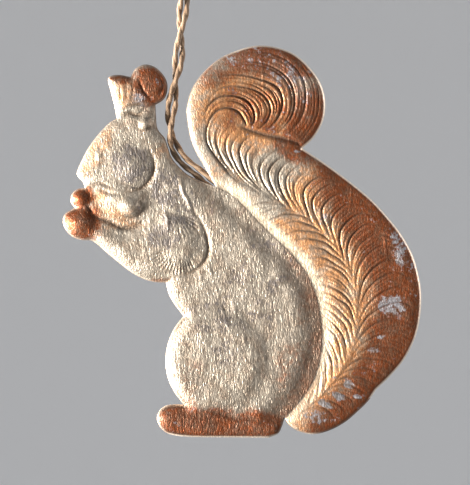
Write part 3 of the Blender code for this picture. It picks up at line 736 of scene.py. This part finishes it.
def solid(name, corners, faces, looks, cut_edge, front, materials):
    """A half as an object: the front half faces -Y and the back one faces +Y."""
    sign = -1.0 if front else 1.0
    places = np.array([world(u, v, sign * h) for u, v, h in corners])
    faces = faces if front else faces[:, ::-1]
    mesh = bpy.data.meshes.new(name)
    mesh.from_pydata(places.tolist(), [], faces.tolist())
    for field, values in looks.items():
        kind, key = ("FLOAT_COLOR", "color") if values.ndim > 1 else ("FLOAT", "value")
        layer = mesh.attributes.new(field, kind, "POINT")
        layer.data.foreach_set(key, values.astype(np.float32).ravel())
    for material in materials:
        mesh.materials.append(material)
    mesh.polygons.foreach_set("material_index", cut_edge.astype(np.int32))
    mesh.shade_smooth()
    mesh.set_sharp_from_angle(angle=math.radians(60))
    return placed(name, mesh)


# -------- thread

def strand(line, side):
    """One strand of the pair along its middle line, as (u, v, depth) points."""
    way = np.gradient(line, axis=0)
    way /= np.linalg.norm(way, axis=1)[:, None]
    right = np.column_stack([way[:, 1], -way[:, 0]])
    right *= np.sign(np.sum(right, axis=1))[:, None]
    height = line[:, 1]
    turn = np.radians(-90.0 + 180.0 * (np.maximum(height, FLAT) - CROSSING) / HALF_TURN)
    last = -90.0 + 180.0 * round((EYE_START - CROSSING) / HALF_TURN + 0.5)
    opened = soft((height - EYE_START) / 2.0)
    turn = turn + (math.radians(last - 90.0) - turn) * opened
    share = np.clip((height - EYE_START) / (PAIR_UP[-1][1] - EYE_START), 0.0, 1.0)
    spread = TWIST + (EYE - TWIST) * np.sin(share * math.pi / 2)
    reach = side * spread * np.cos(turn)
    return np.column_stack([line + reach[:, None] * right, side * spread * np.sin(turn)])


def thread_route():
    """From one inside end up one strand, round the eye, and down the other, in millimetres."""
    line = smooth(PAIR_DOWN[::-1] + PAIR_UP[1:], 0.2)
    first, second = strand(line, 1), strand(line, -1)
    middle = np.array(PAIR_UP[-1])
    way = 1.0 if first[-1, 0] > middle[0] else -1.0
    facing = 0.0 if way > 0 else math.pi
    angles = facing + way * np.linspace(0.0, math.pi, 18)[1:-1]
    arc = np.column_stack([middle[0] + EYE * np.cos(angles), middle[1] + EYE * np.sin(angles),
                           np.zeros(len(angles))])
    route = np.concatenate([first, arc, second[::-1]])
    for _ in range(4):
        route[1:-1] = (route[:-2] + 2 * route[1:-1] + route[2:]) / 4
    return spaced(route, 0.14)


def frames(route):
    """Two directions across the route at each point, carried along it without twist."""
    way = np.gradient(route, axis=0)
    way /= np.linalg.norm(way, axis=1)[:, None]
    side = np.zeros_like(way)
    side[0] = np.cross(way[0], (0.0, 1.0, 0.0))
    for i in range(1, len(way)):
        side[i] = side[i - 1] - (side[i - 1] @ way[i]) * way[i]
        side[i] /= np.linalg.norm(side[i])
    side[0] /= np.linalg.norm(side[0])
    return way, side, np.cross(way, side)


def twine(route, material):
    """A hairy two-ply twine along the route."""
    way, side, up = frames(route)
    along = np.concatenate([[0.0], np.cumsum(np.linalg.norm(np.diff(route, axis=0), axis=1))])
    angle = 2 * math.pi * np.arange(SIDES) / SIDES
    around = angle[None, :] - 2 * math.pi * along[:, None] / PLY_TURN
    lobe = PLY_OFFSET * np.abs(np.cos(around))
    reach = lobe + np.sqrt(PLY_RADIUS ** 2 - (PLY_OFFSET * np.sin(around)) ** 2)
    draw = np.random.default_rng(11)
    places = np.arange(0.0, along[-1] + 2.0, SWELL_STEP)
    reach *= np.interp(along, places, draw.normal(1.0, 0.05, len(places)))[:, None]
    rings = (route[:, None] + reach[..., None] * (np.cos(angle)[None, :, None] * side[:, None]
                                                  + np.sin(angle)[None, :, None] * up[:, None]))
    fibre = np.stack([reach * np.cos(around), reach * np.sin(around),
                      np.broadcast_to(along[:, None], reach.shape)], axis=-1)
    faces = tube_faces(len(route), SIDES)
    faces.append(tuple(range(SIDES))[::-1])
    faces.append(tuple(range((len(route) - 1) * SIDES, len(route) * SIDES)))
    points, fibre = fluff([rings.reshape(-1, 3)], [fibre.reshape(-1, 3)], faces, route,
                          (way, side, up), draw)
    mesh = bpy.data.meshes.new("thread")
    mesh.from_pydata([world(*p) for p in points], [], faces)
    straight = mesh.attributes.new("fibre", "FLOAT_VECTOR", "POINT")
    straight.data.foreach_set("vector", fibre.astype(np.float32).ravel())
    mesh.materials.append(material)
    mesh.shade_smooth()
    return placed("thread", mesh)


def fluff(points, fibre, faces, route, directions, draw):
    """Adds short stray fibres that stand off the twine, and gives all its points as two arrays."""
    way, side, up = directions
    total = len(points[0])
    for _ in range(STRAYS):
        i = int(draw.integers(40, len(route) - 40))
        turn = draw.uniform(0.0, 2 * math.pi)
        out = math.cos(turn) * side[i] + math.sin(turn) * up[i]
        lean = way[i] * draw.choice([-1.0, 1.0]) * draw.uniform(0.5, 1.6)
        length = draw.uniform(0.35, 1.0)
        bend = draw.normal(0.0, 0.35, 3)
        steps = np.linspace(0.0, 1.0, STRAY_RINGS)[:, None]
        line = route[i] + 0.42 * out + length * (steps * (out * 0.55 + lean) + steps ** 2 * bend)
        across = np.cross(lean, out)
        across /= np.linalg.norm(across)
        thin = STRAY_RADIUS * (1.05 - steps)
        hair = np.stack([line + thin * out, line - thin * (0.5 * out + 0.87 * across),
                         line - thin * (0.5 * out - 0.87 * across)], axis=1).reshape(-1, 3)
        points.append(hair)
        fibre.append(np.tile([0.0, 0.0, float(i)], (len(hair), 1)))
        faces += tube_faces(STRAY_RINGS, 3, total)
        faces.append((total + 2, total + 1, total))
        total += len(hair)
        faces.append((total - 3, total - 2, total - 1))
    return np.concatenate(points), np.concatenate(fibre)


# -------- materials

class Nodes:
    """A material's node tree, with short ways to add the nodes used here."""

    def __init__(self, name, roughness, metallic):
        self.material = bpy.data.materials.new(name)
        self.material.use_nodes = True
        self.tree = self.material.node_tree
        self.shader = self.tree.nodes["Principled BSDF"].inputs
        self.shader["Roughness"].default_value = roughness
        self.shader["Metallic"].default_value = metallic

    def link(self, source, target):
        self.tree.links.new(source, target)

    def node(self, kind, inputs, **settings):
        """A node with its settings, and each input linked, or set to a number or a colour."""
        made = self.tree.nodes.new("ShaderNode" + kind)
        for name, value in settings.items():
            setattr(made, name, value)
        for key, value in inputs.items():
            socket = made.inputs[key]
            if isinstance(value, bpy.types.NodeSocket):
                self.link(value, socket)
            else:
                socket.default_value = (*value, 1.0) if socket.type == "RGBA" else value
        return made.outputs

    def attribute(self, name, output="Color"):
        return self.node("Attribute", {}, attribute_name=name)[output]

    def place(self, scale, source=None):
        """Object coordinates, or a vector attribute, stretched."""
        whole = self.attribute(source, "Vector") if source else self.node("TexCoord", {})["Object"]
        return self.node("Mapping", {"Vector": whole, "Scale": scale})["Vector"]

    def noise(self, vector, scale, detail=3.0, rough=0.55, bend=0.0):
        return self.node("TexNoise", {"Vector": vector, "Scale": scale, "Detail": detail,
                                      "Roughness": rough, "Distortion": bend})["Fac"]

    def math(self, kind, a, b):
        return self.node("Math", {0: a, 1: b}, operation=kind)[0]

    def ramp(self, value, low, high, to_low=0.0, to_high=1.0):
        """The value's range, stretched smoothly onto another range."""
        limits = {"From Min": low, "From Max": high, "To Min": to_low, "To Max": to_high}
        return self.node("MapRange", {"Value": value, **limits},
                         interpolation_type="SMOOTHSTEP")["Result"]

    def mix(self, share, a, b):
        """Two colours mixed; either may be a plain colour."""
        return self.node("Mix", {0: share, 6: a, 7: b}, data_type="RGBA")[2]

    def bump(self, height, distance, strength, under=None):
        inputs = {"Height": height, "Distance": distance, "Strength": strength}
        if under:
            inputs["Normal"] = under
        return self.node("Bump", inputs)["Normal"]


# Fineness of the leaf's blotches, flecks, hair lines and cracks, per metre.
BLOTCHES, FLECKS, HAIR_LINES, CRACKS = 420.0, 1500.0, 3500.0, 1700.0
WRINKLE_HEIGHT = 0.00012  # in metres
CRACK_HEIGHT = 0.00004

# Colours are linear, and a pair runs from its dark to its light end.
SILVER = (0.27, 0.235, 0.192)
TARNISH = (0.205, 0.155, 0.112)
GOLD_LEAF = (0.40, 0.19, 0.078)
COPPER_LEAF = (0.140, 0.035, 0.009)
WORN_LEAF = (0.24, 0.23, 0.245)
DULL_LEAF = (0.125, 0.110, 0.102)
BARE_CARD = (0.62, 0.52, 0.42)
# brown stain on the copper, and patina with painted shade in its hollows
BROWN = (0.075, 0.026, 0.012)
# dust and painted shade for the silver's hollows, slope and edges
DUST_AND_SHADE = (0.12, 0.085, 0.06)
# painted shade in the wrinkles' low lines
WRINKLE_SHADE = (0.10, 0.07, 0.045)
# painted highlights for the ridges, the tail's ridge and the eye
SILVER_HIGHLIGHT = (0.72, 0.60, 0.44)
COPPER_HIGHLIGHT = (0.62, 0.26, 0.09)
PULP = ((0.34, 0.22, 0.14), (0.72, 0.60, 0.46))
BAST = ((0.075, 0.040, 0.019), (0.20, 0.122, 0.066))
SLUB = (0.25, 0.165, 0.095)
FLOOR_COLOUR = (0.88, 0.87, 0.85)
WARM = (1.0, 0.96, 0.90)
SKY = (0.9, 0.93, 1.0)


def leaf_material():
    """Metal leaf on pressed card: silver, gold and copper, worn, with brown patina and painted
    shade in its hollows and painted highlights on its ridges.
    """
    made = Nodes("leafed_card", 0.52, 0.74)
    made.shader["Specular IOR Level"].default_value = 0.35
    tint = made.node("SeparateColor", {"Color": made.attribute("tint")})
    copper, gold, worn = tint["Red"], tint["Green"], tint["Blue"]
    # patina and painted shade above 0.5, rubbed wear and painted highlight below it
    patina_shade_highlight = made.attribute("tint", "Alpha")
    place = made.place((1.0, 1.0, 1.0))
    upright = made.place((1.0, 1.0, 0.27))
    blotch = made.noise(place, BLOTCHES, 4.0)
    hair = made.noise(upright, HAIR_LINES, 2.0, 0.5, 0.6)
    fleck = made.noise(place, FLECKS, 4.0, 0.65)
    shift = made.math("SUBTRACT", made.math("ADD", blotch, fleck), 1.0)

    def broken(mask, much, low=0.12, high=1.0):
        return made.ramp(made.math("ADD", mask, made.math("MULTIPLY", shift, much)), low, high)

    colour = made.mix(made.ramp(blotch, 0.4, 0.62, 0.0, 0.5), SILVER, TARNISH)
    colour = made.mix(broken(gold, 1.2), colour, GOLD_LEAF)
    colour = made.mix(broken(copper, 1.3, 0.15, 0.9), colour, COPPER_LEAF)
    stain = made.math("MULTIPLY", copper, made.ramp(blotch, 0.60, 0.40, 0.0, 0.6))
    colour = made.mix(stain, colour, BROWN)
    colour = made.mix(broken(worn, 2.2, 0.35, 0.85), colour,
                      made.mix(copper, DULL_LEAF, WORN_LEAF))
    # Patina and painted shade: the hollows, the body's slope and the low left edge are darkened.
    dark = made.mix(copper, DUST_AND_SHADE, BROWN)
    colour = made.mix(made.ramp(patina_shade_highlight, 0.52, 0.95, 0.0, 0.85), colour, dark)
    # Rubbed wear and painted highlight on the ridges; painted highlight on the tail's ridge and
    # the eye.
    painted_highlight = made.mix(copper, SILVER_HIGHLIGHT, COPPER_HIGHLIGHT)
    colour = made.mix(made.ramp(patina_shade_highlight, 0.47, 0.04, 0.0, 0.55), colour, painted_highlight)
    # Painted shade in the low lines of the wrinkles.
    colour = made.mix(made.ramp(hair, 0.56, 0.40, 0.0, 0.40), colour, WRINKLE_SHADE)
    colour = made.mix(made.attribute("bare", "Fac"), colour, BARE_CARD)
    made.link(colour, made.shader["Base Color"])
    rough = made.ramp(fleck, 0.3, 0.7, 0.43, 0.62)
    made.link(rough, made.shader["Roughness"])
    wild = made.math("SUBTRACT", 1.0, made.math("MULTIPLY", made.attribute("tail", "Fac"), 0.8))
    wrinkle = made.bump(made.math("MULTIPLY", hair, wild), WRINKLE_HEIGHT, 1.0)
    cracks = made.node("TexVoronoi", {"Vector": made.place((1.0, 1.0, 0.55)), "Scale": CRACKS},
                       feature="DISTANCE_TO_EDGE")["Distance"]
    crackle = made.ramp(cracks, 0.0, 0.16)
    made.link(made.bump(crackle, CRACK_HEIGHT, 0.6, wrinkle), made.shader["Normal"])
    return made.material


def edge_material():
    """The card's cut edge: bare pulp with a little brown."""
    made = Nodes("card_edge", 0.85, 0.0)
    grain = made.noise(made.place((1.0, 1.0, 1.0)), 2600.0, 4.0)
    made.link(made.mix(grain, *PULP), made.shader["Base Color"])
    made.link(made.bump(grain, 0.00008, 0.6), made.shader["Normal"])
    return made.material


def twine_material():
    """Undyed bast fibre, spun and plied."""
    made = Nodes("twine", 0.88, 0.0)
    made.shader["Sheen Weight"].default_value = 0.25
    made.shader["Sheen Roughness"].default_value = 0.5
    fibres = made.noise(made.place((9.0, 9.0, 0.9), "fibre"), 1.0, 4.0, 0.6)
    slubs = made.noise(made.place((0.6, 0.6, 0.5), "fibre"), 1.0, 2.0)
    colour = made.mix(made.ramp(fibres, 0.34, 0.66), *BAST)
    colour = made.mix(made.ramp(slubs, 0.4, 0.75, 0.0, 0.4), colour, SLUB)
    made.link(colour, made.shader["Base Color"])
    made.link(made.bump(fibres, 0.0001, 0.8), made.shader["Normal"])
    return made.material


# -------- stage

def camera():
    """A long lens, level, square to the ornament's face."""
    data = bpy.data.cameras.new("camera")
    data.lens = LENS
    data.clip_start = 0.05
    made = placed("camera", data)
    made.location = (AIM[0], -DISTANCE, AIM[1])
    made.rotation_euler = (math.radians(90.0), 0.0, 0.0)
    bpy.context.scene.camera = made


def bowl():
    """A pale floor that curves up into a wall all round."""
    profile = [(0.0, FLOOR_Z)]
    for angle in np.radians(np.linspace(0.0, 90.0, 25)):
        profile.append((FLOOR_FLAT + FLOOR_CURVE * math.sin(angle),
                        FLOOR_Z + FLOOR_CURVE * (1.0 - math.cos(angle))))
    profile.append((FLOOR_FLAT + FLOOR_CURVE, WALL_TOP))
    angles = 2 * math.pi * np.arange(FLOOR_TURNS) / FLOOR_TURNS
    points = [(radius * math.cos(angle), radius * math.sin(angle), z)
              for radius, z in profile for angle in angles]
    mesh = bpy.data.meshes.new("floor")
    mesh.from_pydata(points, [], tube_faces(len(profile), FLOOR_TURNS))
    mesh.shade_smooth()
    made = Nodes("pale_floor", 0.9, 0.0)
    made.shader["Base Color"].default_value = (*FLOOR_COLOUR, 1.0)
    mesh.materials.append(made.material)
    placed("floor", mesh)


def area_light(name, place, size, power, colour=(1.0, 1.0, 1.0)):
    """A soft light that faces the middle of the ornament."""
    data = bpy.data.lights.new(name, "AREA")
    data.shape = "DISK"
    data.size = size
    data.energy = power
    data.color = colour
    data.spread = BEAM
    made = placed(name, data)
    made.location = place
    target = Vector((AIM[0], 0.0, AIM[1]))
    made.rotation_euler = (target - made.location).to_track_quat("-Z", "Y").to_euler()
    made.visible_camera = False


def lights():
    """A low key from the squirrel's front for each face, a weak fill on its back, and the sky."""
    x, y, z = KEY_PLACE
    area_light("front_key", (x, y, z), KEY_SIZE, KEY_POWER, WARM)
    area_light("back_key", (x, -y, z), KEY_SIZE, KEY_POWER, WARM)
    area_light("edge_fill", FILL_PLACE, FILL_SIZE, FILL_POWER)
    sky = bpy.data.worlds.new("studio")
    sky.use_nodes = True
    background = sky.node_tree.nodes["Background"].inputs
    background["Color"].default_value = (*SKY, 1.0)
    background["Strength"].default_value = SKY_STRENGTH
    bpy.context.scene.world = sky


bpy.context.scene.view_settings.view_transform = "Standard"
camera()

route = thread_route()
thread = twine(route, twine_material())
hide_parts("thread_loop", "thread_end_lower", "thread_end_upper")
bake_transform(thread)

corners, faces, looks, cut_edge = half()
materials = [leaf_material(), edge_material()]
for side, facing in (("front", True), ("back", False)):
    card = solid(side + "_relief", corners, faces, looks, cut_edge, facing, materials)
    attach(card, "ornament")
    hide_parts(side + "_card")

bowl()
lights()
